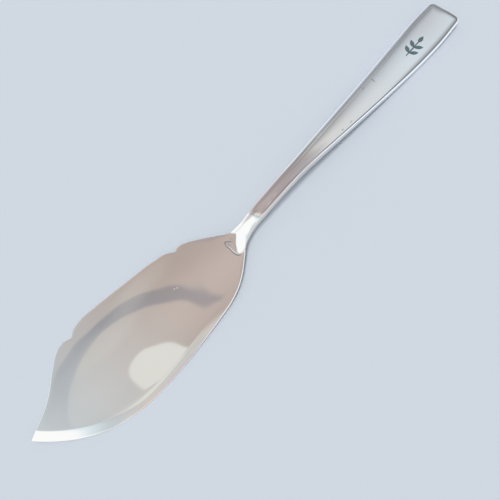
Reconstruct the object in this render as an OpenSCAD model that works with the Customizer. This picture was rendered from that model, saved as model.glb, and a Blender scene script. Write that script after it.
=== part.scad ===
// Table fish knife, stamped and forged from one piece of nickel silver, then plated.
// It lies face up. Blade and handle end touch the table, and the neck arches between them.
// X runs from the blade's point to the end of the handle, Y across towards the notched
// spine, and Z up. The origin is the middle of the outline's box, on the table.
// The shape is one loft: a ring of points around the metal at each place along the length.
// Until the last step, lengths run from the point, and widths from the handle's centre line.

/* [Overall] */
// Length from the blade's point to the end of the handle
knife_len = 203.2; // [195:0.1:220]
// Length of the blade, from its point to the neck
blade_len = 84; // [82:0.5:90]

/* [Blade outline] */
// Highest place of the notched spine above the centre line
spine_h = 19.9; // [17.5:0.1:22]
// Deepest place of the cutting edge below the centre line
belly_h = 13.15; // [11:0.05:16]
// Distance from the point to the deepest place of the cutting edge
belly_x = 44; // [38:0.5:50]
// Fullness of the cutting edge's curve near the point
belly_fullness = 3.3; // [2.2:0.1:4.2]
// Height of the point above the centre line
point_h = 5.3; // [3:0.1:8]
// Width of the blunt point
point_w = 0.6; // [0.4:0.1:1.2]
// Distance from the point to the front notch
front_notch_x = 26.3; // [23:0.1:30]
// Depth of the front notch below the spine's highest place
front_notch_d = 1.85; // [1:0.05:2.8]
// Distance from the front notch back to the spine's highest place
spine_peak_run = 5.2; // [4:0.1:8]
// Distance from the point to the rear notch
rear_notch_x = 65.6; // [62:0.1:68]
// Height of the rear notch above the centre line
rear_notch_h = 12.5; // [10.5:0.1:13.5]
// Depth of the rear notch below the shoulder in front of it
rear_notch_d = 2.9; // [1.6:0.05:3.6]

/* [Blade section] */
// Thickness of the blade beside its spine
blade_t = 1.1; // [0.9:0.05:1.6]
// Thickness left along the cutting edge
edge_t = 0.5; // [0.4:0.05:0.8]
// Width of the bevel along the cutting edge
bevel_w = 2.8; // [1.5:0.1:4]
// How far the face stands proud in the middle of the blade
blade_crown = 0.25; // [0.1:0.05:0.5]

/* [Neck and drop] */
// Width of the neck at its narrowest
neck_w = 4.7; // [4:0.1:5.4]
// Distance from the end of the blade to the narrowest place
neck_run = 10; // [7:0.5:14]
// Thickness of the neck
neck_t = 3.5; // [2.8:0.1:4]
// Length of the drop, from its round end on the blade to the end of the blade
drop_len = 7.2; // [5:0.1:10]
// Width of the drop
drop_w = 6.4; // [5.6:0.1:7.6]
// Distance of the drop's middle below the centre line
drop_offset = 1.1; // [0.6:0.1:1.6]
// Height of the drop above the blade's face
drop_h = 0.3; // [0.2:0.05:0.7]

/* [Handle] */
// Width of the handle at its widest
handle_w = 14.1; // [12.5:0.1:16]
// Distance from the widest place to the end
widest_run = 13.5; // [9:0.5:20]
// Width across the end, before its corners are rounded
end_w = 13.3; // [11.5:0.1:14]
// Radius of the two corners at the end
corner_r = 2.3; // [1.5:0.1:4]
// Thickness of the handle at its end
handle_t = 2.1; // [1.8:0.05:2.8]

/* [Border] */
// Width of the raised border
rim_w = 0.7; // [0.6:0.05:1.1]
// Width of the groove inside the border
groove_w = 0.9; // [0.6:0.05:1.1]
// Depth of the groove on the broad part of the handle
groove_d = 0.25; // [0.15:0.05:0.45]
// How far the panel between the grooves stands proud in its middle
panel_crown = 0.3; // [0.1:0.05:0.5]

/* [Edges] */
// Radius of the edges around the blade's face
blade_edge_r = 0.16; // [0.1:0.02:0.2]
// Radius of the edges along the neck
neck_edge_r = 0.8; // [0.5:0.05:0.9]
// Radius of the edges around the handle's border
handle_edge_r = 0.5; // [0.3:0.05:0.6]

/* [Bend] */
// Height of the underside at the highest place of the arch
arch_h = 5.6; // [3.5:0.1:7.5]
// Distance from the end of the blade to the highest place of the arch
arch_run = 21; // [16:0.5:28]
// Distance from the point to where the blade touches the table
blade_rest_x = 22; // [16:0.5:28]
// Distance from the end of the handle to where it touches the table
handle_rest_run = 25; // [18:0.5:32]
// Lift of the point off the table
point_lift = 0.4; // [0.2:0.05:1]
// Lift of the handle's end off the table
end_lift = 1.4; // [0.6:0.1:2.6]

/* [Smoothness] */
// Steps along each stretch of the blade's outline
blade_steps = 30; // [24:1:36]
// Steps along the handle
handle_steps = 40; // [30:1:50]

/* [Hidden] */

silver = "#c6c3bd";

// Places along the length
neck_x = blade_len + neck_run;
arch_x = blade_len + arch_run;
drop_x = blade_len - drop_len;
wide_x = knife_len - widest_run;
rest_x = knife_len - handle_rest_run;
corner_x = knife_len - corner_r;
root_half = neck_w / 2 + 0.2;

// Runs over which the border, the edges' radius, the bevel and the columns change
border_lead = 5;
border_run = 34;
edge_run = 30;
bevel_end_x = 76;
fade_run = 6;
grip_lead = 3;

// Three columns at each side of a face make its rounded edge
SIDE = 3;
// Columns of points across the face and across the underside
FACE = 15;
BACK = 9;

// Number, from 0 to 1, that eases in and out as x goes from a to b
function ease(a, b, x) =
    let (t = min(1, max(0, (x - a) / (b - a))))
    t * t * (3 - 2 * t);

// Value t of the way from a to b
function mix(a, b, t) = a + (b - a) * t;

// Slope of a smooth curve at knot i, from the knots on both sides of it
function knot_slope(p, i) =
    let (last = len(p) - 1)
    let (before = i > 0 ? (p[i][1] - p[i - 1][1]) / (p[i][0] - p[i - 1][0]) : undef)
    let (after = i < last ? (p[i + 1][1] - p[i][1]) / (p[i + 1][0] - p[i][0]) : undef)
    i == 0 ? after
    : i == last ? before
    : let (w = (p[i][0] - p[i - 1][0]) / (p[i + 1][0] - p[i - 1][0]))
      mix(before, after, w);

// Height at x of the smooth curve through knots p, each of them [x, height]
function curve(p, x) =
    let (last = len(p) - 1)
    let (i = min(last - 1, max(0, len([for (k = p) if (k[0] <= x) 1]) - 1)))
    let (run = p[i + 1][0] - p[i][0])
    let (t = min(1, max(0, (x - p[i][0]) / run)))
    let (a = knot_slope(p, i) * run)
    let (b = knot_slope(p, i + 1) * run)
    mix(p[i][1], p[i + 1][1], t * t * (3 - 2 * t))
    + a * t * (1 - t) * (1 - t)
    - b * t * t * (1 - t);

// Knots at shares of a stretch: each share is [share of the run, share of the rise]
function knots(x0, x1, y0, y1, shares) =
    [for (s = shares) [mix(x0, x1, s[0]), mix(y0, y1, s[1])]];

// Places from a to b, closer together at both ends, without b itself
function spread(a, b, n) = [for (i = [0 : n - 1]) mix(a, b, (1 - cos(180 * i / n)) / 2)];

// Half width of the neck and handle, flaring from the neck to the widest place
flare = [[0, 0], [0.17, 0.06], [0.375, 0.3], [0.69, 0.699], [0.9, 0.944], [1, 1]];
half_knots = concat(
    knots(neck_x, wide_x, neck_w / 2, handle_w / 2, flare),
    [[knife_len, end_w / 2]]);

// Spine from the point to the front notch: hollow first, then a rounded lobe
front_notch_h = spine_h - front_notch_d;
spine_front = knots(0, front_notch_x, point_h + point_w / 2, front_notch_h,
    [[0, 0], [0.15, 0.11], [0.38, 0.36], [0.61, 0.745], [0.78, 1], [0.88, 1.064], [1, 1]]);

// Spine between the notches: up to its peak, and straight down to the shoulder
shoulder_h = rear_notch_h + rear_notch_d;
peak_x = front_notch_x + spine_peak_run;
spine_middle = concat(
    knots(front_notch_x, peak_x, front_notch_h, spine_h, [[0, 0], [0.33, 0.6], [1, 1]]),
    knots(peak_x, rear_notch_x, spine_h, shoulder_h, [[0.15, 0.115], [0.5, 0.53], [0.82, 0.99]]),
    [[rear_notch_x - 2, mix(rear_notch_h, shoulder_h, 0.55)], [rear_notch_x, rear_notch_h]]);

// Spine behind the rear notch: a small lobe, a straight slope and the hollow of the neck
spine_rear = concat(
    knots(rear_notch_x, blade_len, root_half, rear_notch_h,
        [[0, 1], [0.07, 1.029], [0.16, 1.005], [0.25, 0.92], [0.46, 0.63],
         [0.68, 0.293], [0.81, 0.119], [1, 0]]),
    half_knots);

// Cutting edge behind its deepest place
edge_rear = concat(
    knots(belly_x, blade_len, belly_h, root_half,
        [[0, 0], [0.15, 0.028], [0.35, 0.078], [0.525, 0.147], [0.65, 0.275],
         [0.75, 0.458], [0.85, 0.702], [0.94, 0.92], [1, 0.985]]),
    half_knots);

// Height of the underside in the middle, along the length
bend = concat(
    [[0, point_lift]],
    knots(blade_rest_x, blade_len, 0, arch_h,
        [[0, 0], [0.45, 0.062], [0.77, 0.214], [0.9, 0.304], [1, 0.464]]),
    knots(blade_len, arch_x, 0, arch_h, [[0.29, 0.732], [0.52, 0.893], [1, 1]]),
    knots(arch_x, rest_x, arch_h, 0,
        [[0.204, 0.125], [0.481, 0.5], [0.747, 0.84], [0.9, 0.968], [1, 1]]),
    knots(rest_x, knife_len, 0, end_lift, [[0.47, 0.34], [1, 1]]));

// Thickness from the underside to the face, without the drop
thickness = concat(
    knots(0, blade_len, blade_t, neck_t - drop_h,
        [[0, 0], [0.6, 0], [0.78, 0.03], [0.9, 0.09], [0.94, 0.15], [1, 0.6]]),
    knots(neck_x, knife_len, neck_t - drop_h, handle_t - drop_h,
        [[0, 0], [0.16, 0.13], [0.32, 0.4], [0.5, 0.64], [0.73, 0.9], [1, 1]]));

// Half width, with the corners of the handle's end taken off
function half_w(x) =
    let (h = curve(half_knots, x))
    let (c = max(0, x - corner_x))
    h - corner_r + sqrt(max(0, corner_r * corner_r - c * c));

// Outline on the side of the spine
function spine_y(x) =
    x < front_notch_x ? curve(spine_front, x)
    : x < rear_notch_x ? curve(spine_middle, x)
    : x < neck_x ? curve(spine_rear, x)
    : half_w(x);

// Outline on the side of the cutting edge, below the centre line
function edge_y(x) =
    x < belly_x ? (point_h - point_w / 2 + belly_h) * pow(1 - x / belly_x, belly_fullness) - belly_h
    : x < neck_x ? -curve(edge_rear, x)
    : -half_w(x);

// Distance in from the outline at a place on the neck or handle
function inset(x, y, ys, ye) =
    let (side = min(ys - y, y - ye))
    let (cy = abs(y) - (curve(half_knots, x) - corner_r))
    let (cx = x - corner_x)
    cx > 0 && cy > 0 ? corner_r - norm([cx, cy]) : min(side, knife_len - x);

// Distance in from the outline of the drop
function drop_inset(x, y) =
    let (r = drop_w * 0.4)
    let (q = [drop_x + r - x, abs(y + drop_offset) - drop_w / 2 + r])
    r - (q[0] > 0 && q[1] > 0 ? norm(q) : max(q[0], q[1]));

// Fall of a rounded edge of radius r at distance d from the outline
function edge_fall(r, d) =
    let (t = min(1, max(0, 1 - d / r)))
    r * (1 - sqrt(1 - t * t));

// Share of the groove's depth at a place along the length
function groove_share(x) =
    ease(drop_x + drop_len / 2, blade_len, x)
    * mix(0.4, 1, ease(arch_x - border_lead, arch_x + border_run, x));

// Radius of the edges around the face at a place along the length
function face_edge_r(x) =
    mix(
        mix(blade_edge_r, neck_edge_r, ease(drop_x, blade_len, x)),
        handle_edge_r, ease(neck_x, neck_x + edge_run, x));

// Height of the face above the underside's middle line
function face_z(x, y, ys, ye) =
    let (across = 2 * (y - (ys + ye) / 2) / (ys - ye))
    let (on_grip = ease(blade_len - 2, neck_x, x))
    let (on_neck = ease(drop_x + drop_len / 2, blade_len + 1, x))
    let (lift = max(ease(-0.1, 0.5, drop_inset(x, y)), on_neck))
    let (steep = (edge_y(x + 0.05) - edge_y(x - 0.05)) / 0.1)
    let (from_edge = (y - ye) / norm([1, steep]))
    let (bevel_fall = (blade_t - edge_t) * (1 - ease(belly_x + fade_run, bevel_end_x, x)))
    let (d = inset(x, y, ys, ye))
    let (g = min(1, max(0, (d - rim_w) / groove_w)))
    let (crown = mix(blade_crown, panel_crown * ease(neck_x, neck_x + edge_run, x), on_grip))
    curve(thickness, x)
    + drop_h * lift
    + crown * (1 - across * across)
    - bevel_fall * max(0, 1 - from_edge / bevel_w)
    - groove_d * groove_share(x) * pow(sin(180 * g), 2)
    - edge_fall(face_edge_r(x), d);

// Radius of the edges around the underside
function back_edge_r(x) =
    mix(
        mix(blade_edge_r, neck_edge_r, ease(drop_x, neck_x, x)),
        handle_edge_r, ease(neck_x, neck_x + edge_run, x));

// Height of the underside above its own middle line
function back_z(x, y, ys, ye) =
    let (across = 2 * (y - (ys + ye) / 2) / (ys - ye))
    let (keel = 0.3 * ease(drop_x, neck_x, x))
    keel * across * across + edge_fall(back_edge_r(x), inset(x, y, ys, ye));

// Columns across the blade's face: the rounded spine, even steps, the bevel and the edge
function blade_column(j, x, ys, ye) =
    let (r = blade_edge_r)
    let (steep = (edge_y(x + 0.05) - edge_y(x - 0.05)) / 0.1)
    let (ridge = min(bevel_w * norm([1, steep]), 0.9 * (ys - ye - 2 * r)))
    j < SIDE ? ys - r * [0, 0.3, 1][j]
    : j >= FACE - SIDE ? ye + r * [1, 0.3, 0][j - FACE + SIDE]
    : j == FACE - SIDE - 1 ? ye + r + (ridge - r) / 2
    : mix(ys - r, ye + max(ridge, 1.2 * r), (j - SIDE + 1) / (FACE - 2 * SIDE - 1));

// Columns across the drop: the two rounded edges, and three beside each side of the drop
function drop_column(j, x, ys, ye) =
    let (r = face_edge_r(x))
    let (top = min(drop_w / 2 - drop_offset, ys - r - 0.4))
    let (low = max(-drop_w / 2 - drop_offset, ye + r + 0.4))
    j < SIDE ? ys - r * [0, 0.3, 1][j]
    : j >= FACE - SIDE ? ye + r * [1, 0.3, 0][j - FACE + SIDE]
    : j < 2 * SIDE ? top + [0.2, -0.15, -0.5][j - SIDE]
    : j >= FACE - 2 * SIDE ? low + [0.5, 0.15, -0.2][j - FACE + 2 * SIDE]
    : mix(top - 0.5, low + 0.5, (j - 2 * SIDE + 1) / 4);

// Columns across the neck and handle: edges, border, groove and panel
function grip_column(j, x, ys, ye) =
    let (r = face_edge_r(x))
    let (step = [0, 0.3 * r, r, max(rim_w, r + 0.05), rim_w + groove_w / 2, rim_w + groove_w])
    let (fit = min(1, 0.45 * (ys - ye) / step[5]))
    j < 2 * SIDE ? ys - step[j] * fit
    : j >= FACE - 2 * SIDE ? ye + step[FACE - 1 - j] * fit
    : mix(ys - step[5] * fit, ye + step[5] * fit, (j - 2 * SIDE + 1) / 4);

// Place of column j of the face
function face_column(j, x, ys, ye) =
    let (to_drop = ease(drop_x - fade_run, drop_x - 1, x))
    let (to_grip = ease(blade_len - grip_lead, blade_len + 1, x))
    mix(
        mix(blade_column(j, x, ys, ye), drop_column(j, x, ys, ye), to_drop),
        grip_column(j, x, ys, ye), to_grip);

// Place of column k of the underside
function back_column(k, x, ys, ye) =
    let (r = min(back_edge_r(x), 0.3 * (ys - ye)))
    k < SIDE ? ye + r * [0, 0.3, 1][k]
    : k >= BACK - SIDE ? ys - r * [1, 0.3, 0][k - BACK + SIDE]
    : mix(ye + r, ys - r, (k - SIDE + 1) / (BACK - 2 * SIDE + 1));

// Ring of points around the metal at x
function ring(x) =
    let (ys = spine_y(x))
    let (ye = edge_y(x))
    let (z = curve(bend, x))
    concat(
        [for (j = [0 : FACE - 1])
            let (y = face_column(j, x, ys, ye))
            [x, y, z + face_z(x, y, ys, ye)]],
        [for (k = [0 : BACK - 1])
            let (y = back_column(k, x, ys, ye))
            [x, y, z + back_z(x, y, ys, ye)]]);

// Places of the rings: close together at the notches, the drop and the end
end_x = knife_len - rim_w - groove_w - 0.3;
stations = concat(
    spread(0, front_notch_x, blade_steps),
    spread(front_notch_x, rear_notch_x, blade_steps + 4),
    spread(rear_notch_x, drop_x - 0.4, floor(blade_steps / 2)),
    [for (i = [0 : 19]) drop_x - 0.4 + (drop_len + 1.4) * i / 20],
    [for (i = [0 : 13]) mix(blade_len + 1, arch_x, i / 14)],
    [for (i = [0 : handle_steps - 1]) mix(arch_x, end_x, i / handle_steps)],
    [for (i = [0 : 12]) mix(end_x, knife_len, sin(90 * i / 12))]);

// Skin over the rings: two triangles in each cell, and one flat cap at each end
module loft(rings) {
    m = len(rings[0]);
    n = len(rings);
    sides = [for (i = [0 : n - 2], c = [0 : m - 1])
        let (d = (c + 1) % m)
        each [[i * m + c, i * m + d, (i + 1) * m + d],
              [i * m + c, (i + 1) * m + d, (i + 1) * m + c]]];
    caps = [[for (c = [m - 1 : -1 : 0]) c], [for (c = [0 : m - 1]) (n - 1) * m + c]];
    polyhedron(points = [for (r = rings) each r], faces = concat(sides, caps), convexity = 4);
}

module fish_knife() {
    rings = [for (x = stations) ring(x)];
    highest_y = max([for (r = rings, p = r) p[1]]);
    lowest_y = min([for (r = rings, p = r) p[1]]);
    lowest_z = min([for (r = rings, p = r) p[2]]);
    color(silver)
        translate([-knife_len / 2, -(highest_y + lowest_y) / 2, -lowest_z])
            loft(rings);
}

fish_knife();
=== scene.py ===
"""A silver-plated table fish knife, lying face up on a pale table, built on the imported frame.

Sizes in the classes are millimetres, measured as on the knife itself: x runs from the blade's
point, y across from the handle's centre line towards the notched spine, and z up from the table.
The metal starts as a grid primitive with a Solidify wall, and its points are then set by the
same laws as the part's source, because a mirror finish shows every facet of a rougher skin.
"""

import logging
import math
from dataclasses import dataclass, field, replace
from enum import Enum

import bpy
import numpy as np
from mathutils import Matrix, Vector

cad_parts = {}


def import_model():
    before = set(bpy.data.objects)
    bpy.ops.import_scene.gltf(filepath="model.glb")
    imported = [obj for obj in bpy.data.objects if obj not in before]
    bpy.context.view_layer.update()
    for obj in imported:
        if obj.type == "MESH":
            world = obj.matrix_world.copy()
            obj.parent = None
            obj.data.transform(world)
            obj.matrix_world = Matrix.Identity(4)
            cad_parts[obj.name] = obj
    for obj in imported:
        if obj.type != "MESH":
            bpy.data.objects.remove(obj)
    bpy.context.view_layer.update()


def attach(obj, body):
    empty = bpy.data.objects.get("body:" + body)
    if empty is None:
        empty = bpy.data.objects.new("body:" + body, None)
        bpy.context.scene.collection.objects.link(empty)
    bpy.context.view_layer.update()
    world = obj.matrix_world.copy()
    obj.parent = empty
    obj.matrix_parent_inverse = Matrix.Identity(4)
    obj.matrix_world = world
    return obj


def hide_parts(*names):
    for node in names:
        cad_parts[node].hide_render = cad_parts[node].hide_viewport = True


LOG = logging.getLogger("fish_knife")
MM = 0.001
BODY = "root"
NODE = "fish_knife"
SHARP_TURN = math.radians(38.0)
FLAT = (1.0, 1.0, 0.0)

Pair = tuple[float, float]
Knots = tuple[Pair, ...]
Socket = bpy.types.NodeSocket
Tree = bpy.types.NodeTree


# Small helpers


def ease(a: float, b: float, x: np.ndarray) -> np.ndarray:
    """Eases from 0 to 1 and levels out at both ends.

    Args:
        a: Place where the rise starts.
        b: Place where it is complete.
        x: Places to look up.

    Returns:
        The share at each place.
    """
    t = np.clip((x - a) / (b - a), 0.0, 1.0)
    return t * t * (3.0 - 2.0 * t)


def mix(a: np.ndarray, b: np.ndarray, t: np.ndarray) -> np.ndarray:
    """Goes t of the way from a to b."""
    return a + (b - a) * t


def smooth_max(a: np.ndarray, b: np.ndarray, blend: float) -> np.ndarray:
    """Takes the higher of two surfaces, rounded where they meet.

    Args:
        a: Heights of one surface.
        b: Heights of the other.
        blend: Rise that the rounding adds, in millimetres.

    Returns:
        The joined heights.
    """
    return 0.5 * (a + b + np.sqrt((a - b) ** 2 + blend * blend))


def shares(x0: float, x1: float, y0: float, y1: float, rows: Knots) -> list[Pair]:
    """Turns shares of a run and a rise into knots.

    Args:
        x0: Start of the run.
        x1: End of the run.
        y0: Value at the start.
        y1: Value at the end.
        rows: Pairs of a share of the run and a share of the rise.

    Returns:
        Knots as pairs of a place and a value.
    """
    return [(x0 + (x1 - x0) * s, y0 + (y1 - y0) * t) for s, t in rows]


def curve(knots: list[Pair], x: np.ndarray) -> np.ndarray:
    """Follows knots closely, as the outline does in the part's source.

    Args:
        knots: Pairs of a place and a value, in order.
        x: Places to look up.

    Returns:
        The value at each place.
    """
    k, h = np.array(knots, float).T
    run = np.diff(k)
    rate = np.diff(h) / run
    weight = run[:-1] / (run[:-1] + run[1:])
    inner = rate[:-1] * (1.0 - weight) + rate[1:] * weight
    slope = np.concatenate([rate[:1], inner, rate[-1:]])
    i = np.clip(np.searchsorted(k, x, side="right") - 1, 0, len(k) - 2)
    t = np.clip((x - k[i]) / run[i], 0.0, 1.0)
    bent = slope[i] * run[i] * t * (1.0 - t) ** 2 - slope[i + 1] * run[i] * t * t * (1.0 - t)
    return mix(h[i], h[i + 1], t * t * (3.0 - 2.0 * t)) + bent


def fair(knots: Knots, x: np.ndarray) -> np.ndarray:
    """Runs a fair line through knots, with no step in its curvature, so reflections flow over it.

    Args:
        knots: Pairs of a place and a value, in order.
        x: Places to look up. Past the ends the line goes on straight.

    Returns:
        The value at each place.
    """
    k, h = np.array(knots, float).T
    n = len(k)
    run = np.diff(k)
    rate = np.diff(h) / run
    system = np.eye(n)
    target = np.zeros(n)
    for i in range(1, n - 1):
        system[i, i - 1 : i + 2] = run[i - 1], 2.0 * (run[i - 1] + run[i]), run[i]
        target[i] = 6.0 * (rate[i] - rate[i - 1])
    bend = np.linalg.solve(system, target)
    i = np.clip(np.searchsorted(k, x, side="right") - 1, 0, n - 2)
    inside = np.clip(x, k[0], k[-1])
    a, b = k[i + 1] - inside, inside - k[i]
    value = (
        (bend[i] * a**3 + bend[i + 1] * b**3) / (6.0 * run[i])
        + (h[i] / run[i] - bend[i] * run[i] / 6.0) * a
        + (h[i + 1] / run[i] - bend[i + 1] * run[i] / 6.0) * b
    )
    first = rate[0] - bend[1] * run[0] / 6.0
    last = rate[-1] + bend[-2] * run[-1] / 6.0
    return value + first * np.minimum(x - k[0], 0.0) + last * np.maximum(x - k[-1], 0.0)


def spread(a: float, b: float, count: int) -> np.ndarray:
    """Places from a to b, closer together at both ends, without b itself."""
    return a + (b - a) * (1.0 - np.cos(np.pi * np.arange(count) / count)) / 2.0


def between(count: int) -> np.ndarray:
    """Even places between 0 and 1, without both ends."""
    return np.linspace(0, 1, count + 2)[1:-1]


def linear(colour: str) -> tuple[float, float, float, float]:
    """Turns an sRGB hex colour into the linear values that Blender works in.

    Args:
        colour: Six hex digits after a hash sign.

    Returns:
        Red, green, blue and a full alpha.
    """
    parts = [int(colour[i : i + 2], 16) / 255.0 for i in (1, 3, 5)]
    red, green, blue = (c / 12.92 if c <= 0.04045 else ((c + 0.055) / 1.055) ** 2.4 for c in parts)
    return red, green, blue, 1.0


def add_node(tree: Tree, kind: str, links: dict | None = None, **settings) -> bpy.types.Node:
    """Adds a node, sets its options and inputs, and links what feeds it.

    Args:
        tree: Node tree that the node goes into.
        kind: Blender's name of the node type, without the ShaderNode that they all start with.
        links: Input name or number to a value, or to the output socket that feeds it.
        settings: Properties of the node itself.

    Returns:
        The new node.
    """
    node = tree.nodes.new("ShaderNode" + kind)
    for name, value in settings.items():
        setattr(node, name, value)
    for name, value in (links or {}).items():
        if isinstance(value, Socket):
            tree.links.new(value, node.inputs[name])
        else:
            node.inputs[name].default_value = value
    return node


def set_ramp(node: bpy.types.Node, stops: tuple[tuple[float, str], ...]) -> Socket:
    """Fills a colour ramp.

    Args:
        node: The ramp node.
        stops: Pairs of a place from 0 to 1 and an sRGB hex colour.

    Returns:
        The ramp's colour socket.
    """
    ramp = node.color_ramp
    while len(ramp.elements) < len(stops):
        ramp.elements.new(0.5)
    for element, (place, colour) in zip(ramp.elements, stops):
        element.position = place
        element.color = linear(colour)
    return node.outputs["Color"]


def set_curve(node: bpy.types.Node, points: Knots, span: Pair, top: float) -> Socket:
    """Fills a float curve.

    Args:
        node: The float curve node.
        points: Pairs of a place in the span and a value.
        span: Places that the curve's two ends stand for.
        top: Value that the curve's top stands for.

    Returns:
        The curve's output, as a share of top.
    """
    rows = node.mapping.curves[0].points
    while len(rows) < len(points):
        rows.new(0.5, 0.5)
    for row, (place, value) in zip(rows, points):
        row.location = ((place - span[0]) / (span[1] - span[0]), value / top)
        row.handle_type = "AUTO_CLAMPED"
    node.mapping.update()
    return node.outputs[0]


def select_only(thing: bpy.types.Object) -> None:
    """Makes one object the active and only selected one.

    Args:
        thing: Object to select.
    """
    bpy.ops.object.select_all(action="DESELECT")
    thing.select_set(True)
    bpy.context.view_layer.objects.active = thing


def apply_modifier(thing: bpy.types.Object, kind: str, **settings) -> None:
    """Adds a modifier, sets it and applies it to the mesh.

    Args:
        thing: Object to work on.
        kind: Blender's name of the modifier type.
        settings: Properties of the modifier.
    """
    select_only(thing)
    modifier = thing.modifiers.new(kind.lower(), kind)
    for name, value in settings.items():
        setattr(modifier, name, value)
    bpy.ops.object.modifier_apply(modifier=modifier.name)


def add_grid(steps: tuple[int, int]) -> bpy.types.Object:
    """Adds a flat grid of one unit a side.

    Args:
        steps: Number of faces along x and along y.

    Returns:
        The new object, alone selected and active.
    """
    bpy.ops.object.select_all(action="DESELECT")
    bpy.ops.mesh.primitive_grid_add(x_subdivisions=steps[0], y_subdivisions=steps[1], size=1.0)
    return bpy.context.object


def read_points(mesh: bpy.types.Mesh) -> np.ndarray:
    """Reads where a mesh's points are.

    Args:
        mesh: Mesh to read.

    Returns:
        One row of three coordinates for each point.
    """
    places = np.zeros(len(mesh.vertices) * 3, np.float32)
    mesh.vertices.foreach_get("co", places)
    return places.reshape(-1, 3)


def move_points(mesh: bpy.types.Mesh, places: np.ndarray) -> None:
    """Moves a mesh's points to new places, one row for each."""
    mesh.vertices.foreach_set("co", places.astype(np.float32).ravel())
    mesh.update()


class Side(Enum):
    """The two sides of the metal."""

    FACE = 1
    BACK = -1


# The knife's shape


@dataclass(frozen=True)
class Handle:
    """The flared handle, with its square end turned up a little.

    flare is the outline in shares of the run and the rise from the neck's half width to the
    handle's, and drift moves the handle towards the cutting side. The panel's crown and the
    edge's radius are full from full_run past the neck.
    """

    length: float = 203.2
    wide: float = 14.1
    wide_run: float = 13.5
    end_wide: float = 13.3
    corner_r: float = 2.3
    edge_r: float = 0.42
    panel_crown: float = 0.3
    full_run: float = 30.0
    least_half: float = 1.0
    drift: Knots = (
        (84, 0), (94, 0.03), (110, 0.15), (125, 0.24), (155, 0.34), (180, 0.4), (203.2, 0.5),
    )
    flare: Knots = ((0, 0), (0.17, 0.06), (0.375, 0.3), (0.69, 0.699), (0.9, 0.944), (1, 1))

    def half_knots(self, neck_x: float, neck_wide: float) -> list[Pair]:
        """Knots of the half width, from the neck to the end.

        Args:
            neck_x: Place of the neck's narrowest part.
            neck_wide: Width there.

        Returns:
            Knots along the handle.
        """
        run = shares(neck_x, self.length - self.wide_run, neck_wide / 2, self.wide / 2, self.flare)
        return run + [(self.length, self.end_wide / 2)]


@dataclass(frozen=True)
class Neck:
    """The forged neck that climbs from the blade, and the drop where it starts.

    line is the struck line round the front of the drop, tapered over line_taper, which counts
    its points. foot says where the climb starts at each place across, and foot_x where it does
    in the middle. head is a slant, and the stretch along the knife over which it sets in. The
    blade and the climb are blended over crease, and both count between the places in joined.
    """

    x: float = 94.0
    wide: float = 4.7
    edge_r: float = 0.8
    edge_r_below: float = 0.35
    drop_x: float = 76.8
    drop_wide: float = 6.4
    drop_offset: float = 1.1
    drop_high: float = 0.03
    drop_soft: float = 1.2
    drop_corner: float = 2.6
    drop_fade: Pair = (78.3, 81.0)
    line: Knots = (
        (79.3, 0.7), (78.88, 1.49), (78.4, 1.98), (77.95, 2.16), (77.58, 2.06), (77.34, 1.68),
        (77.13, 1.1), (77.18, -0.15), (76.96, -1.15), (76.86, -2.04), (76.96, -3.17),
        (77.41, -3.92), (78.19, -4.24),
    )
    line_wide: float = 0.27
    line_deep: float = 0.045
    # painted shade: how much the struck line's colour is darkened
    line_share: float = 0.6
    line_taper: Pair = (-0.6, 1.2)
    crease: float = 0.1
    joined: Pair = (70.0, 92.0)
    keel: float = 0.3
    foot_x: float = 80.7
    foot: Knots = (
        (-6.0, 86.0), (-4.7, 81.2), (-4.0, 78.9), (-3.3, 78.5), (-2.2, 78.9), (-1.25, 79.5),
        (-0.5, 80.1), (0.6, 81.4), (1.4, 82.2), (2.0, 81.9), (2.7, 81.4), (4.0, 81.2),
    )
    foot_fade: Pair = (79.0, 91.0)
    head: tuple[float, float, float] = (0.6, 81.0, 89.0)
    head_end: Pair = (90.5, 100.0)

    def drop_inset(self, x: np.ndarray, y: np.ndarray) -> np.ndarray:
        """Distance in from the outline of the drop.

        Args:
            x: Places along the knife.
            y: Places across it.

        Returns:
            Millimetres, negative outside the drop.
        """
        r = self.drop_corner
        ahead = self.drop_x + r - x
        beside = np.abs(y + self.drop_offset) - self.drop_wide / 2 + r
        round_part = np.hypot(ahead, beside)
        return r - np.where((ahead > 0) & (beside > 0), round_part, np.maximum(ahead, beside))

    def drop_line(self, x: np.ndarray, y: np.ndarray) -> np.ndarray:
        """Share of the struck line that runs round the front of the drop.

        Args:
            x: Places along the knife.
            y: Places across it.

        Returns:
            1 in the middle of the line and 0 beside it, tapered at both of its ends.
        """
        share = np.zeros(np.broadcast(x, y).shape)
        count = len(self.line) - 1
        for i, ((x0, y0), (x1, y1)) in enumerate(zip(self.line, self.line[1:])):
            run, rise = x1 - x0, y1 - y0
            t = np.clip(((x - x0) * run + (y - y0) * rise) / (run * run + rise * rise), 0.0, 1.0)
            away = np.hypot(x - x0 - t * run, y - y0 - t * rise)
            along = np.minimum(i + t, count - i - t)
            across = np.maximum(0.0, 1.0 - (away / self.line_wide) ** 2)
            share = np.maximum(share, across * ease(*self.line_taper, along))
        return share

    def shift(self, x: np.ndarray, y: np.ndarray) -> np.ndarray:
        """How far the climb stands back from its middle place, to slant its foot and its head.

        Args:
            x: Places along the knife.
            y: Places across it.

        Returns:
            Millimetres towards the handle.
        """
        foot = (curve(self.foot, y) - self.foot_x) * (1.0 - ease(*self.foot_fade, x))
        slant, start, full = self.head
        return foot - slant * y * ease(start, full, x) * (1.0 - ease(*self.head_end, x))


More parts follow.
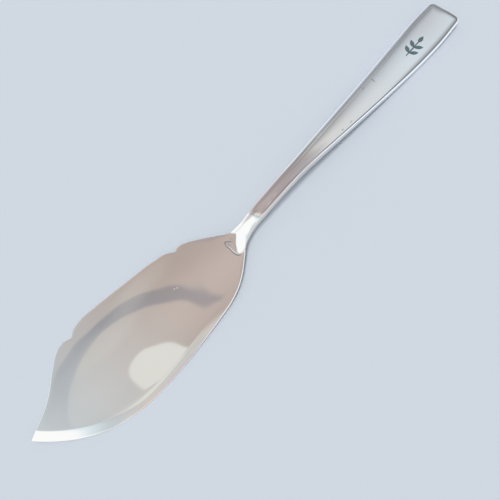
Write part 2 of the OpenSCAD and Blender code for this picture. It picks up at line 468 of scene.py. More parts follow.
@dataclass(frozen=True)
class Blade:
    """The broad leaf-shaped blade with its two notches and its bevelled cutting edge.

    The lobes, the peak's two sides and the rear edge are knots in shares of their run and rise.
    bevel_flow is 1 for a flat bevel and less for one that runs softly into the blade, which it
    does from bevel_flow_run on. wave is the faint unevenness of hand polishing.
    """

    length: float = 84.0
    point_high: float = 5.3
    point_wide: float = 0.6
    front_notch: Pair = (26.3, 18.05)
    peak: Pair = (31.5, 19.9)
    rear_notch: Pair = (65.6, 12.5)
    rear_lip: Pair = (2.0, 0.55)
    shoulder_high: float = 15.4
    root_half: float = 2.55
    belly: Pair = (44.0, 13.15)
    belly_fullness: float = 3.3
    bevel_wide: float = 2.8
    bevel_wide_back: float = 2.4
    bevel_narrows: Pair = (10.0, 26.0)
    bevel_fall: float = 0.55
    bevel_soft: float = 0.05
    bevel_flow: float = 0.55
    bevel_flow_run: Pair = (14.0, 28.0)
    bevel_end: Pair = (42.0, 66.0)
    edge_r: float = 0.16
    rub_r: float = 0.5
    rub_start: Pair = (46.0, 60.0)
    crown: float = 0.16
    crown_radius: float = 700.0
    wave: float = 0.0025
    wave_steps: tuple[Pair, Pair] = ((1.9, 4.1), (6.7, 2.3))
    wave_start: float = 0.8
    front_lobe: Knots = (
        (0, 0), (0.15, 0.11), (0.38, 0.36), (0.61, 0.745), (0.78, 1), (0.88, 1.064), (1, 1),
    )
    peak_rise: Knots = ((0, 0), (0.33, 0.6), (1, 1))
    peak_fall: Knots = ((0.15, 0.115), (0.5, 0.53), (0.82, 0.99))
    rear_lobe: Knots = (
        (0, 1), (0.07, 1.029), (0.16, 1.005), (0.25, 0.92), (0.46, 0.63), (0.68, 0.293),
        (0.81, 0.119), (1, 0),
    )
    rear_edge: Knots = (
        (0, 0), (0.15, 0.028), (0.35, 0.078), (0.525, 0.147), (0.65, 0.275), (0.75, 0.458),
        (0.85, 0.702), (0.94, 0.92), (1, 0.985),
    )
    centre: Knots = ((0, 5.3), (20, 4.2), (44, 3.3), (64, 1.6), (84, -0.4))

    def spine(self, x: np.ndarray, half_knots: list[Pair]) -> np.ndarray:
        """Height of the notched spine above the centre line.

        Args:
            x: Places along the knife, up to the neck.
            half_knots: Knots of the neck and handle, which the rear spine runs into.

        Returns:
            Millimetres at each place.
        """
        (nx, nh), (px, ph), (rx, rh) = self.front_notch, self.peak, self.rear_notch
        front = shares(0, nx, self.point_high + self.point_wide / 2, nh, self.front_lobe)
        middle = shares(nx, px, nh, ph, self.peak_rise)
        middle += shares(px, rx, ph, self.shoulder_high, self.peak_fall)
        ahead, share = self.rear_lip
        middle += [(rx - ahead, rh + share * (self.shoulder_high - rh)), (rx, rh)]
        rear = shares(rx, self.length, self.root_half, rh, self.rear_lobe) + half_knots
        behind = np.where(x < rx, curve(middle, x), curve(rear, x))
        return np.where(x < nx, curve(front, x), behind)

    def edge(self, x: np.ndarray, half_knots: list[Pair]) -> np.ndarray:
        """Height of the cutting edge, which is below the centre line.

        Args:
            x: Places along the knife, up to the neck.
            half_knots: Knots of the neck and handle, which the edge runs into.

        Returns:
            Millimetres at each place, negative where the blade is broad.
        """
        bx, bh = self.belly
        rise = self.point_high - self.point_wide / 2 + bh
        front = rise * np.maximum(0.0, 1.0 - x / bx) ** self.belly_fullness - bh
        rear = shares(bx, self.length, bh, self.root_half, self.rear_edge) + half_knots
        return np.where(x < bx, front, -curve(rear, x))


@dataclass(frozen=True)
class Border:
    """The thread border: a raised rim round the handle, with a step down to the panel inside it.

    The rim is broader on the spine's side, by spine_extra along the handle and at its end, and
    narrower by below_less on the cutting side. The sides run into each other over the stretch
    across the knife in sides. A shade band is the soft band of painted shade beside the step: its
    greatest share, its width and how much that grows.
    """

    rim_wide: float = 0.72
    spine_extra: Pair = (0.36, 0.12)
    spine_end: Pair = (176.0, 194.0)
    below_less: float = 0.27
    below_end: Pair = (132.0, 182.0)
    sides: Pair = (-2.5, 2.5)
    step_wide: float = 0.25
    groove_wide: float = 0.95
    groove_deep: float = 0.2
    sunk: float = 0.5
    start: Pair = (81.0, 83.5)
    start_below: Pair = (88.0, 94.0)
    full: Pair = (100.0, 139.0)
    shallow: float = 0.3
    neck_extra: float = 0.1
    neck_span: Pair = (98.0, 118.0)
    line_share: Pair = (0.85, 0.95)
    line_wide: float = 0.3
    line_start: Pair = (94.0, 124.0)
    line_least: float = 0.2
    shade_band_start: Pair = (96.0, 116.0)
    shade_band_spine: tuple[float, float, float] = (0.66, 0.75, 0.12)
    shade_band_below: tuple[float, float, float] = (0.75, 0.3, 0.6)
    shade_band_end: Pair = (152.0, 182.0)
    polish_highlight_end: Pair = (-0.15, 0.05)

    def own_inset(self, x: np.ndarray, y: np.ndarray, inset: np.ndarray) -> np.ndarray:
        """Distance in from the rim's outer side.

        Args:
            x: Places along the knife.
            y: Places across it.
            inset: Distance in from the outline.

        Returns:
            Millimetres, less where the rim is broader: on the spine's side and on the neck.
        """
        spine = mix(*self.spine_extra, ease(*self.spine_end, x))
        below = -self.below_less * (1.0 - ease(*self.below_end, x))
        extra = self.neck_extra * (1.0 - ease(*self.neck_span, x))
        return inset - mix(below, spine, ease(*self.sides, y)) - extra

    def groove(self, x: np.ndarray, y: np.ndarray, inset: np.ndarray) -> np.ndarray:
        """Share of the groove's depth: a steep step at the rim, then an easy rise to the panel.

        Args:
            x: Places along the knife.
            y: Places across it.
            inset: Distance in from the outline.

        Returns:
            The share; towards the end the panel itself lies lower than the rim.
        """
        inset = self.own_inset(x, y, inset)
        foot = self.rim_wide + self.step_wide
        rise = 1.0 - self.sunk * ease(*self.full, x)
        step = ease(self.rim_wide, foot, inset)
        return step * (1.0 - rise * ease(foot, self.rim_wide + self.groove_wide, inset))

    def depth(self, x: np.ndarray, y: np.ndarray) -> np.ndarray:
        """Depth of the groove: shallow at the neck, where one side starts later, and then full.

        Args:
            x: Places along the knife.
            y: Places across it.

        Returns:
            Millimetres at each place.
        """
        growth = self.shallow + (1.0 - self.shallow) * ease(*self.full, x)
        start = np.where(y > 0.0, ease(*self.start, x), ease(*self.start_below, x))
        return self.groove_deep * start * growth

    def tarnish_and_shade(self, x: np.ndarray, y: np.ndarray, inset: np.ndarray,
                half: np.ndarray) -> np.ndarray:
        """Share of darkening: a line of tarnish and painted shade in the step, and a soft band of
        painted shade beside it.

        Args:
            x: Places along the knife.
            y: Places across it.
            inset: Distance in from the outline.
            half: Half width of the handle there.

        Returns:
            The share from 0 to 1; the band is broader on the spine's side.
        """
        inset = self.own_inset(x, y, inset)
        upper = ease(*self.sides, y)
        start = mix(self.line_least, 1.0, ease(*self.line_start, x))
        start = self.depth(x, y) / self.groove_deep * start
        # tarnish and painted shade in the step: a narrow dark line
        off = (inset - self.rim_wide - self.step_wide / 2.0) / self.line_wide
        line = mix(*self.line_share, 1.0 - upper) * np.maximum(0.0, 1.0 - off**2) * start**0.5
        # painted shade: a soft band beside the step, broader on the spine's side
        far = np.maximum(0.0, inset - self.rim_wide - self.step_wide / 2.0)
        share, wide, growth = self.shade_band_spine
        above = share * np.exp(-((far / (wide + growth * half)) ** 2))
        share, wide, growth = self.shade_band_below
        below = share * np.exp(-((far / (wide + growth * ease(*self.shade_band_end, x))) ** 2))
        shade_band = mix(below, above, upper) * ease(*self.shade_band_start, x)
        return np.where(inset > self.rim_wide, np.maximum(line, shade_band), line)

    def polish_and_highlight(self, x: np.ndarray, y: np.ndarray, inset: np.ndarray) -> np.ndarray:
        """Share of the rim's rub from hands and drawers, and of the painted highlight
        along it.

        Args:
            x: Places along the knife.
            y: Places across it.
            inset: Distance in from the outline.

        Returns:
            The share from 0 to 1.
        """
        inset = self.own_inset(x, y, inset)
        outer, inner = self.polish_highlight_end
        # the rim is polished smoother and painted whiter as a highlight
        share = 1.0 - ease(self.rim_wide + outer, self.rim_wide + inner, inset)
        return share * ease(*self.full, x)


@dataclass(frozen=True)
class Bend:
    """Heights along the middle of the knife: the blade, the climbing neck and the underside."""

    blade: Knots = ((0, 1.5), (22, 1.12), (50, 1.47), (66, 2.13), (76, 2.83), (88, 3.9))
    neck: Knots = (
        (70, -1.1), (76, 1.42), (78, 2.28), (80.7, 3.45), (84, 5.02), (87, 6.5), (88, 6.98),
        (89, 7.38), (90, 7.62), (91, 7.76), (92, 7.86), (94, 8.05), (97, 8.3), (101, 8.59),
        (105, 8.8), (112, 8.56), (120, 7.93), (130, 6.74), (140.2, 5.53), (150, 4.34),
        (159.7, 3.33), (172.25, 2.46), (183.2, 2.32), (194.2, 2.84), (203.2, 3.45),
    )
    under: Knots = (
        (0, 0.4), (22, 0.0), (50, 0.35), (70, 1.2), (78, 1.75), (84, 2.6), (90, 4.1), (95, 5.0),
        (105, 5.6), (120, 4.9), (140.2, 2.8), (159.7, 0.9), (170.0, 0.2), (178.0, 0.0),
        (190.0, 0.48), (203.2, 1.35),
    )


@dataclass(frozen=True)
class Skin:
    """How many points the metal's skin has, and where they lie.

    rows counts the rows in eight stretches, from the point to the end. The fields with most or
    least in their names keep columns apart where the knife is narrow: all are shares of the
    width there, and bevel_least of the edge's radius.
    """

    columns: int = 49
    rows: tuple[int, ...] = (120, 150, 50, 130, 70, 200, 36, 12)
    before_drop: float = 0.4
    past_blade: float = 2.0
    grip_start: float = 105.0
    end_margin: float = 0.8
    end_round: float = 0.5
    wall: float = 0.1
    fillet: tuple[float, ...] = (0.0, 0.1, 0.25, 0.45, 0.7, 1.0)
    fillet_most: float = 0.3
    bevel_most: float = 0.9
    bevel_least: float = 1.3
    bevel_slope: tuple[float, ...] = (0.25, 0.5, 0.75, 0.9)
    crest_gap: Pair = (0.15, 0.2)
    drop_step: tuple[float, ...] = (0.25, 0.05, -0.15, -0.35, -0.6)
    drop_out: tuple[float, ...] = (0.33, 0.66, 0.9)
    drop_margin: float = 1.0
    rim_gap: float = 0.05
    rim_most: float = 0.42
    groove_steps: int = 8
    to_drop: Pair = (-6.0, -1.0)
    to_grip: Pair = (-3.0, 1.0)

    def stations(self, knife: "Knife") -> np.ndarray:
        """Places of the rows along the knife, close together at notches, drop and end.

        Args:
            knife: The knife that the rows belong to.

        Returns:
            Places in order, from the point to the end.
        """
        blade, border, length = knife.blade, knife.border, knife.handle.length
        front, notch = blade.front_notch[0], blade.rear_notch[0]
        drop, root = knife.neck.drop_x - self.before_drop, blade.length + self.past_blade
        end = length - border.rim_wide - border.groove_wide - self.end_margin
        last = length - self.end_round
        steps = (notch, drop, root, self.grip_start, end, last)
        even = [np.linspace(a, b, count, endpoint=False)
                for a, b, count in zip(steps, steps[1:], self.rows[2:])]
        turn = np.sin(np.linspace(0, np.pi / 2, self.rows[-1]))
        return np.concatenate([
            spread(0, front, self.rows[0]), spread(front, notch, self.rows[1]), *even,
            length - self.end_round * (1.0 - turn),
        ])


@dataclass
class Knife:
    """The whole knife: one piece of forged metal."""

    blade: Blade = field(default_factory=Blade)
    neck: Neck = field(default_factory=Neck)
    handle: Handle = field(default_factory=Handle)
    border: Border = field(default_factory=Border)
    bend: Bend = field(default_factory=Bend)
    skin: Skin = field(default_factory=Skin)

    def __post_init__(self) -> None:
        """Finds the outline's middle and the lowest place, which set the frame's origin."""
        self.half_knots = self.handle.half_knots(self.neck.x, self.neck.wide)
        x = self.skin.stations(self)
        self.middle_y = (self.spine(x).max() + self.edge(x).min()) / 2
        self.lowest_z = self.points(Side.BACK)[..., 2].min()

    def half_wide(self, x: np.ndarray) -> np.ndarray:
        """Half width of the handle, with the corners of its end rounded off.

        Args:
            x: Places along the knife.

        Returns:
            Millimetres at each place.
        """
        r = self.handle.corner_r
        c = np.maximum(0.0, x - (self.handle.length - r))
        return curve(self.half_knots, x) - r + np.sqrt(np.maximum(0.0, r * r - c * c))

    def spine(self, x: np.ndarray) -> np.ndarray:
        """Outline on the spine's side."""
        return np.where(x < self.neck.x, self.blade.spine(x, self.half_knots), self.half_wide(x))

    def edge(self, x: np.ndarray) -> np.ndarray:
        """Outline on the cutting edge's side."""
        return np.where(x < self.neck.x, self.blade.edge(x, self.half_knots), -self.half_wide(x))

    def bevel_run(self, x: np.ndarray) -> np.ndarray:
        """How far the bevel reaches in, measured straight across the knife.

        Args:
            x: Places along the knife.

        Returns:
            Millimetres at each place.
        """
        step = 0.05
        steep = (self.edge(x + step) - self.edge(x - step)) / (2 * step)
        narrow = ease(*self.blade.bevel_narrows, x)
        wide = mix(self.blade.bevel_wide, self.blade.bevel_wide_back, narrow)
        return wide * np.hypot(1.0, steep)

    def inset(self, x: np.ndarray, y: np.ndarray) -> np.ndarray:
        """Distance in from the outline, round the corners of the handle's end too.

        Args:
            x: Places along the knife.
            y: Places across it.

        Returns:
            Millimetres in from the outline.
        """
        r, length = self.handle.corner_r, self.handle.length
        side = np.minimum(self.spine(x) - y, y - self.edge(x))
        ahead = x - (length - r)
        beside = np.abs(y) - (curve(self.half_knots, x) - r)
        corner = r - np.hypot(ahead, beside)
        return np.where((ahead > 0) & (beside > 0), corner, np.minimum(side, length - x))

    def edge_radius(self, x: np.ndarray, spine_side: np.ndarray | bool) -> np.ndarray:
        """Radius of the rounded edges: fine on the blade, full on the neck, less on the handle.

        Args:
            x: Places along the knife.
            spine_side: Whether it is the edge on the spine's side.

        Returns:
            Millimetres; the cutting side is rounder towards the neck.
        """
        worn = mix(self.blade.edge_r, self.blade.rub_r, ease(*self.blade.rub_start, x))
        blade = np.where(spine_side, self.blade.edge_r, worn)
        climb = np.where(spine_side, self.neck.edge_r, self.neck.edge_r_below)
        neck = mix(blade, climb, ease(self.neck.drop_x, self.blade.length, x))
        full = self.neck.x + self.handle.full_run
        return mix(neck, self.handle.edge_r, ease(self.neck.x, full, x))

    def edge_fall(self, x: np.ndarray, y: np.ndarray) -> np.ndarray:
        """How far the surface has dropped where it rounds over to the side.

        Args:
            x: Places along the knife.
            y: Places across it.

        Returns:
            Millimetres at each place.
        """
        spine_side = self.spine(x) - y < y - self.edge(x)
        r = self.edge_radius(x, spine_side)
        t = np.clip(1.0 - self.inset(x, y) / r, 0.0, 1.0)
        return r * (1.0 - np.sqrt(1.0 - t * t))

    def columns(self, x: np.ndarray, side: Side) -> np.ndarray:
        """Places across the knife of every point in each row.

        Args:
            x: Places of the rows, as one column.
            side: The face, or the plainer underside.

        Returns:
            One row of places for each place in x, from the spine to the cutting edge.
        """
        skin, neck = self.skin, self.neck
        ys, ye = self.spine(x), self.edge(x)
        wide = ys - ye
        count, fillet = skin.columns, np.array(skin.fillet)
        rs, re = (np.minimum(self.edge_radius(x, spine_side), skin.fillet_most * wide)
                  for spine_side in (True, False))
        round_s, round_e = fillet * rs, fillet[::-1] * re
        if side is Side.BACK:
            inner = between(count - 2 * len(fillet))
            return np.hstack([ys - round_s, mix(ys - rs, ye + re, inner), ye + round_e])
        # blade: even steps to the bevel's crest, three columns over the crest, then the bevel
        crest = ye + np.minimum(self.bevel_run(x), skin.bevel_most * (wide - 2 * re))
        crest = np.maximum(crest, ye + skin.bevel_least * re)
        most, share = skin.crest_gap
        gap = np.minimum(most, share * (crest - ye))
        slope = np.array(skin.bevel_slope)
        flat = between(count - 2 * len(fillet) - 3 - len(slope))
        blade = np.hstack([
            ys - round_s, mix(ys - rs, crest + gap, flat), crest + gap, crest, crest - gap,
            mix(crest - gap, ye + re, slope), ye + round_e,
        ])
        # drop: five columns down each of its sides
        step, out = np.array(skin.drop_step), np.array(skin.drop_out)
        top = np.minimum(neck.drop_wide / 2 - neck.drop_offset, ys - rs - skin.drop_margin)
        low = np.maximum(-neck.drop_wide / 2 - neck.drop_offset, ye + re + skin.drop_margin)
        inner = between(count - 2 * (len(fillet) + len(step) + len(out)))
        drop = np.hstack([
            ys - round_s, mix(ys - rs, top + step[0], out), top + step,
            mix(top + step[-1], low - step[-1], inner),
            low - step[::-1], mix(low - step[0], ye + re, 1.0 - out[::-1]), ye + round_e,
        ])
        # handle: rounded edge, rim, groove, panel
        rim_in = np.maximum(self.border.rim_wide, rs + skin.rim_gap)
        groove = self.border.groove_wide * np.arange(1, skin.groove_steps + 1) / skin.groove_steps
        down = np.hstack([round_s, mix(rs, rim_in, 0.5), rim_in, rim_in + groove])
        down = down * np.minimum(1.0, skin.rim_most * wide / down[:, -1:])
        inner = between(count - 2 * down.shape[1])
        panel = mix(ys - down[:, -1:], ye + down[:, -1:], inner)
        grip = np.hstack([ys - down, panel, ye + down[:, ::-1]])
        to_drop = ease(*(neck.drop_x + run for run in skin.to_drop), x)
        to_grip = ease(*(self.blade.length + run for run in skin.to_grip), x)
        return mix(mix(blade, drop, to_drop), grip, to_grip)

    def face_height(self, x: np.ndarray, y: np.ndarray) -> np.ndarray:
        """Height of the face.

        Args:
            x: Places along the knife.
            y: Places across it.

        Returns:
            Millimetres above the frame's first zero.
        """
        blade, neck, handle = self.blade, self.neck, self.handle
        inset = self.inset(x, y)
        off_centre = y - fair(blade.centre, x)
        from_edge = (y - self.edge(x)) / self.bevel_run(x)
        flow = mix(1.0, blade.bevel_flow, ease(*blade.bevel_flow_run, x))
        down = smooth_max(0.0, 1.0 - from_edge, blade.bevel_soft)
        bevel = blade.bevel_fall * (1.0 - ease(*blade.bevel_end, x)) * down * mix(down, 1.0, flow)
        lift = (neck.drop_high * ease(0.0, neck.drop_soft, neck.drop_inset(x, y))
                * (1.0 - ease(*neck.drop_fade, x)))
        lift = lift - neck.line_deep * neck.drop_line(x, y)
        (ax, ay), (bx, by) = blade.wave_steps
        wave = blade.wave * np.sin(x / ax + y / ay) * np.sin(y / by - x / bx + blade.wave_start)
        flat = (fair(self.bend.blade, x) + blade.crown - off_centre**2 / (2.0 * blade.crown_radius)
                - bevel + lift + wave)
        half = np.maximum(handle.least_half, fair(tuple(self.half_knots), x))
        crown = handle.panel_crown * ease(neck.x, neck.x + handle.full_run, x)
        grip = fair(self.bend.neck, x - neck.shift(x, y)) + crown * (1.0 - (y / half) ** 2)
        start, end = neck.joined
        joined = np.where(x < start, flat, smooth_max(flat, grip, neck.crease))
        joined = np.where(x > end, grip, joined)
        groove = self.border.depth(x, y) * self.border.groove(x, y, inset)
        return joined - groove - self.edge_fall(x, y)

    def back_height(self, x: np.ndarray, y: np.ndarray) -> np.ndarray:
        """Height of the underside.

        Args:
            x: Places along the knife.
            y: Places across it.

        Returns:
            Millimetres above the frame's first zero.
        """
        ys, ye = self.spine(x), self.edge(x)
        across = 2.0 * (y - (ys + ye) / 2.0) / (ys - ye)
        keel = self.neck.keel * ease(self.neck.drop_x, self.neck.x, x)
        return fair(self.bend.under, x) + keel * across**2 + self.edge_fall(x, y)

    def points(self, side: Side) -> np.ndarray:
        """Every point of one side, in the knife's own millimetres.

        Args:
            side: The face or the underside.

        Returns:
            An array of rows, columns and the three coordinates.
        """
        x = self.skin.stations(self)[:, None]
        y = self.columns(x, side)
        x = np.broadcast_to(x, y.shape)
        z = self.face_height(x, y) if side is Side.FACE else self.back_height(x, y)
        return np.stack([x, y, z], -1)

    def to_frame(self, points: np.ndarray) -> np.ndarray:
        """Moves points to the frame; the handle has been bent a little to the edge's side.

        Args:
            points: Places in the knife's own millimetres.

        Returns:
            The places in the frame's metres.
        """
        drift = curve(self.handle.drift, points[..., 0])[..., None]
        points = points - drift * np.array([0.0, 1.0, 0.0])
        origin = np.array([self.handle.length / 2, self.middle_y, self.lowest_z])
        return (points - origin) * MM

    def build(self) -> bpy.types.Object:
        """Makes the metal: a grid, its wall, and every point set by the shape's laws.

        Returns:
            The finished mesh object, at the origin.
        """
        face, back = self.points(Side.FACE), self.points(Side.BACK)
        rows, columns = face.shape[:2]
        knife = add_grid((rows - 1, columns - 1))
        knife.name = knife.data.name = "fish_knife_metal"
        apply_modifier(knife, "SOLIDIFY", thickness=self.skin.wall, offset=-1.0)
        mesh = knife.data
        flat = read_points(mesh)
        row = np.rint((flat[:, 0] + 0.5) * (rows - 1)).astype(int)
        column = np.rint((0.5 - flat[:, 1]) * (columns - 1)).astype(int)
        upper = flat[:, 2] > -self.skin.wall / 2
        place = np.where(upper[:, None], face[row, column], back[row, column])
        x, y = place[:, 0], place[:, 1]
        inset = self.inset(x, y)
        # tarnish and painted shade: in the handle's grooves, beside its rim and in the drop's
        # struck line
        tarnish_and_shade = np.maximum(self.border.tarnish_and_shade(x, y, inset, curve(self.half_knots, x)),
                             self.neck.line_share * self.neck.drop_line(x, y))
        for name, share in (("tarnish_and_shade_share", tarnish_and_shade), ("polish_and_highlight", self.border.polish_and_highlight(x, y, inset))):
            values = mesh.attributes.new(name, "FLOAT", "POINT").data
            values.foreach_set("value", np.where(upper, share, 0.0).astype(np.float32))
        move_points(mesh, self.to_frame(place))
        select_only(knife)
        bpy.ops.object.shade_smooth_by_angle(angle=SHARP_TURN)
        return knife

    def dress(self, knife: bpy.types.Object, finish: "SilverPlate") -> None:
        """Gives the metal its finish and its place in the frame.

        Args:
            knife: The mesh from build().
            finish: The silver plate.
        """
        knife.data.materials.clear()
        knife.data.materials.append(finish.material(self))
        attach(knife, BODY)
        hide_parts(NODE)
        LOG.info("%s: %d faces", knife.name, len(knife.data.polygons))


@dataclass
class Sprig:
    """A small leaf sprig let into the handle's panel near its end."""

    centre: Pair = (181.0, -0.3)
    stem: float = 9.4
    stem_wide: float = 0.55
    stem_fullness: float = 0.3
    root_back: float = 0.6
    leaf: Pair = (3.7, 1.6)
    leaf_least: float = 0.05
    pairs: tuple[float, ...] = (0.2, 0.55)
    tip: float = 0.86
    lean: float = 48.0
    thick: float = 0.12
    proud: float = 0.03
    grid: tuple[int, int] = (16, 6)

    def sliver(self, knife: Knife, start: Pair, lean: float, size: Pair,
               fullness: float = 1.0) -> bpy.types.Object:
        """Makes one leaf or stem: a grid shaped to its outline, laid on the panel and given a wall.

        Args:
            knife: The knife whose panel it lies on.
            start: Its root, in the knife's millimetres.
            lean: Degrees that it is turned from the handle's line.
            size: Its length and its greatest width.
            fullness: How pointed its ends are: 1 for a leaf, less for a stem.

        Returns:
            The closed mesh object.
        """
        sliver = add_grid(self.grid)
        flat = read_points(sliver.data)
        s, t = flat[:, 0] + 0.5, 2.0 * flat[:, 1]
        outline = np.maximum(self.leaf_least, np.sin(np.pi * np.clip(s, 0.0, 1.0))) ** fullness
        along, across = s * size[0], t * (size[1] / 2.0 * outline)
        turn = math.radians(lean)
        x = start[0] + along * math.cos(turn) - across * math.sin(turn)
        y = start[1] + along * math.sin(turn) + across * math.cos(turn)
        z = knife.face_height(x, y) + self.proud
        move_points(sliver.data, knife.to_frame(np.stack([x, y, z], -1)))
        apply_modifier(sliver, "SOLIDIFY", thickness=self.thick * MM, offset=-1.0)
        return sliver

    def build(self, knife: Knife) -> bpy.types.Object:
        """Makes the stem and its leaves and joins them.

        Args:
            knife: The knife whose panel they lie on.

        Returns:
            The finished mesh object, at the origin.
        """
        x, y = self.centre[0] - self.stem / 2.0 - self.root_back, self.centre[1]
        stem = (self.stem, self.stem_wide)
        pieces = [self.sliver(knife, (x, y), 0.0, stem, self.stem_fullness)]
        pieces += [self.sliver(knife, (x + share * self.stem, y), lean, self.leaf)
                   for share in self.pairs for lean in (self.lean, -self.lean)]
        pieces.append(self.sliver(knife, (x + self.tip * self.stem, y), 0.0, self.leaf))
        select_only(pieces[0])
        for piece in pieces:
            piece.select_set(True)
        bpy.ops.object.join()
        sprig = bpy.context.object
        sprig.name = sprig.data.name = "leaf_sprig_inlay"
        bpy.ops.object.shade_smooth_by_angle(angle=SHARP_TURN)
        return sprig

    def dress(self, sprig: bpy.types.Object, finish: "DarkOxide") -> None:
        """Gives the sprig its finish and its place in the frame.

        Args:
            sprig: The mesh from build().
            finish: The dark silver.
        """
        sprig.data.materials.clear()
        sprig.data.materials.append(finish.material())
        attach(sprig, BODY)
        LOG.info("%s: %d faces", sprig.name, len(sprig.data.polygons))


# Finishes


@dataclass(frozen=True)
class DarkOxide:
    """Silver that was blackened on purpose, blue-grey and half matt."""

    colour: str = "#455A60"
    pale: str = "#5E747A"
    rough: float = 0.45
    grain: float = 900.0

    def material(self) -> bpy.types.Material:
        """Builds the node material.

        Returns:
            The material, reading Object coordinates.
        """
        material = bpy.data.materials.new("silver_dark_oxide")
        material.use_nodes = True
        tree = material.node_tree
        shader = tree.nodes["Principled BSDF"]
        shader.inputs["Roughness"].default_value = self.rough
        place = add_node(tree, "TexCoord").outputs["Object"]
        # worn paler in specks of about a millimetre
        worn = add_node(tree, "TexNoise", {"Vector": place, "Scale": self.grain, "Detail": 2.0})
        colour = add_node(tree, "Mix", {
            0: worn.outputs["Fac"], 6: linear(self.colour), 7: linear(self.pale)}, data_type="RGBA")
        tree.links.new(colour.outputs[2], shader.inputs["Base Color"])
        return material


@dataclass(frozen=True)
class Spot:
    """An oval spot of colour in the plate or in the room: wear, painted highlights and painted
    shade in the plate, light and shade in the room.

    size is its two half widths, turn is in degrees, soft is the share of its size over which
    its rim fades, and rough is what a mark adds to the plate's roughness.
    """

    centre: Pair
    size: Pair
    colour: str
    turn: float = 0.0
    soft: float = 0.35
    share: float = 1.0
    rough: float = 0.0

    def lay(self, tree: Tree, place: Socket, under: Socket) -> tuple[Socket, Socket]:
        """Lays the spot over a colour, in the plane of the first two coordinates.

        Args:
            tree: Node tree that the nodes go into.
            place: The coordinates, flat or with a height that is ignored.
            under: The colour so far.

        Returns:
            The colour with the spot, and the spot's share of it.
        """
        inside = add_node(tree, "Mapping", {
            "Vector": place, "Location": (*self.centre, 0.0),
            "Rotation": (0.0, 0.0, math.radians(self.turn)), "Scale": (*self.size, 1.0)},
            vector_type="TEXTURE").outputs[0]
        flat = add_node(tree, "VectorMath", {0: inside, 1: FLAT}, operation="MULTIPLY").outputs[0]
        away = add_node(tree, "VectorMath", {0: flat}, operation="LENGTH").outputs["Value"]
        mask = add_node(tree, "MapRange", {
            "Value": away, "From Min": 1.0 - self.soft, "From Max": 1.0 + self.soft,
            "To Min": 1.0, "To Max": 0.0}, interpolation_type="SMOOTHSTEP").outputs[0]
        share = add_node(tree, "Math", {0: mask, 1: self.share}, operation="MULTIPLY").outputs[0]
        colour = add_node(tree, "Mix", {0: share, 6: under, 7: linear(self.colour)},
                          data_type="RGBA").outputs[2]
        return colour, share


